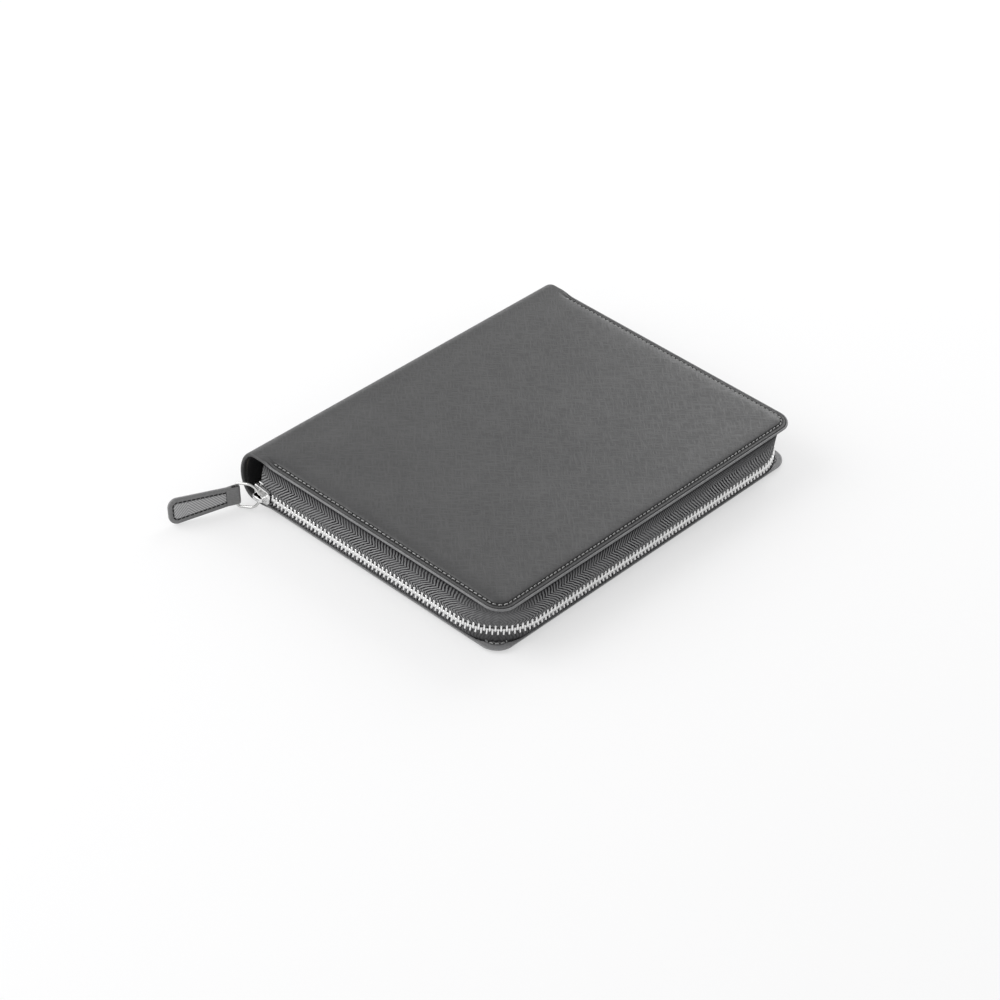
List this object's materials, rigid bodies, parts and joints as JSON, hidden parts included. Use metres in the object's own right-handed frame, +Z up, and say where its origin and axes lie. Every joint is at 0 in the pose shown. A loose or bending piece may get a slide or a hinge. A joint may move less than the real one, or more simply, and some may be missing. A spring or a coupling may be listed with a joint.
{
  "type": "zip-round ring organizer",
  "caption": "Zip-round A5 ring organizer: padded leather-look covers that open over the spine, metal zip with leather pull, ring mechanism with pages inside.",
  "frame": {"origin": "centre of the back cover's underside", "axes": "+X from the spine to the fore edge, +Y along the spine from tail to head, +Z up through the closed covers"},
  "size_m": [0.1954, 0.2897, 0.03],
  "materials": {
    "cover_leather": "charcoal cross-grain leather cloth, semi-matt",
    "inner_leather": "smooth charcoal leather cloth",
    "lining": "plain woven lining",
    "foam": "thin padding",
    "board": "grey-brown binder board",
    "zip_tape": "black herringbone zip tape",
    "zip_metal": "silver, lightly polished",
    "nickel": "bright nickel plate",
    "paper": "off-white uncoated paper",
    "divider_card": "grey card",
    "elastic": "black ribbed elastic"
  },
  "bodies": {
    "back_cover": {"back_cover_leather": "cover_leather", "back_foam": "foam", "back_board": "board", "back_lining": "lining", "back_pocket": "lining", "lower_zip_tape": "zip_tape", "lower_zip_teeth": "zip_metal", "zip_end_stop": "zip_metal", "ring_cover_plate": "nickel", "rivet_tail": "nickel", "rivet_head": "nickel", "lever_pin_tail": "nickel", "lever_pin_head": "nickel", "divider_1": "divider_card", "page_block_lower": "paper", "divider_2": "divider_card", "page_block_upper": "paper", "divider_3": "divider_card"},
    "spine": {"spine_leather": "cover_leather", "spine_board": "board", "spine_lining": "lining"},
    "front_cover": {"front_cover_leather": "cover_leather", "front_foam": "foam", "front_board": "board", "front_lining": "lining", "upper_zip_tape": "zip_tape", "upper_zip_teeth": "zip_metal", "card_pocket_1": "inner_leather", "card_pocket_2": "inner_leather", "card_pocket_3": "inner_leather", "document_pocket": "inner_leather", "pen_loop": "elastic"},
    "slider": {"slider_body": "zip_metal", "slider_bail": "zip_metal"},
    "pull_ring": {"pull_ring": "nickel"},
    "pull_tab": {"pull_tab": "cover_leather"},
    "left_leaf": {"left_leaf": "nickel", "left_half_ring_1": "nickel", "left_half_ring_2": "nickel", "left_half_ring_3": "nickel", "left_half_ring_4": "nickel", "left_half_ring_5": "nickel", "left_half_ring_6": "nickel"},
    "right_leaf": {"right_leaf": "nickel", "right_half_ring_1": "nickel", "right_half_ring_2": "nickel", "right_half_ring_3": "nickel", "right_half_ring_4": "nickel", "right_half_ring_5": "nickel", "right_half_ring_6": "nickel"},
    "lever_tail": {"lever_tail": "nickel"},
    "lever_head": {"lever_head": "nickel"}
  },
  "joints": [
    {"name": "spine_fold", "type": "hinge", "parent": "back_cover", "child": "spine", "pos_m": [-0.0895, 0, 0.003], "axis": [0, -1, 0], "range_deg": [0, 90]},
    {"name": "cover_fold", "type": "hinge", "parent": "spine", "child": "front_cover", "pos_m": [-0.0895, 0, 0.027], "axis": [0, -1, 0], "range_deg": [0, 90]},
    {"name": "zip_slide", "type": "slide", "parent": "back_cover", "child": "slider", "axis": [1, 0, 0], "range_m": [0, 0.13], "deforming": ["upper_zip_teeth", "lower_zip_teeth"]},
    {"name": "ring_swing", "type": "hinge", "parent": "slider", "child": "pull_ring", "pos_m": [-0.0745, -0.12505, 0.0103], "axis": [0.1712, -0.0454, -0.9842], "range_deg": [-65, 10]},
    {"name": "tab_swing", "type": "hinge", "parent": "pull_ring", "child": "pull_tab", "pos_m": [-0.08612, -0.13062, 0.00854], "axis": [0.1712, -0.0454, -0.9842], "range_deg": [-34, 50]},
    {"name": "left_rings_open", "type": "hinge", "parent": "back_cover", "child": "left_leaf", "pos_m": [-0.077, 0, 0.0056], "axis": [0, -1, 0], "range_deg": [0, 12]},
    {"name": "right_rings_open", "type": "hinge", "parent": "back_cover", "child": "right_leaf", "pos_m": [-0.063, 0, 0.0056], "axis": [0, 1, 0], "range_deg": [0, 12]},
    {"name": "lever_tail_press", "type": "hinge", "parent": "back_cover", "child": "lever_tail", "pos_m": [-0.07, -0.1045, 0.0063], "axis": [1, 0, 0], "range_deg": [0, 24]},
    {"name": "lever_head_press", "type": "hinge", "parent": "back_cover", "child": "lever_head", "pos_m": [-0.07, 0.1045, 0.0063], "axis": [-1, 0, 0], "range_deg": [0, 24]}
  ],
  "couplings": [
    {"joint": "cover_fold", "follows": "spine_fold", "ratio": 1},
    {"joint": "right_rings_open", "follows": "left_rings_open", "ratio": 1},
    {"joint": "lever_tail_press", "follows": "left_rings_open", "ratio": 2},
    {"joint": "lever_head_press", "follows": "left_rings_open", "ratio": 2}
  ]
}
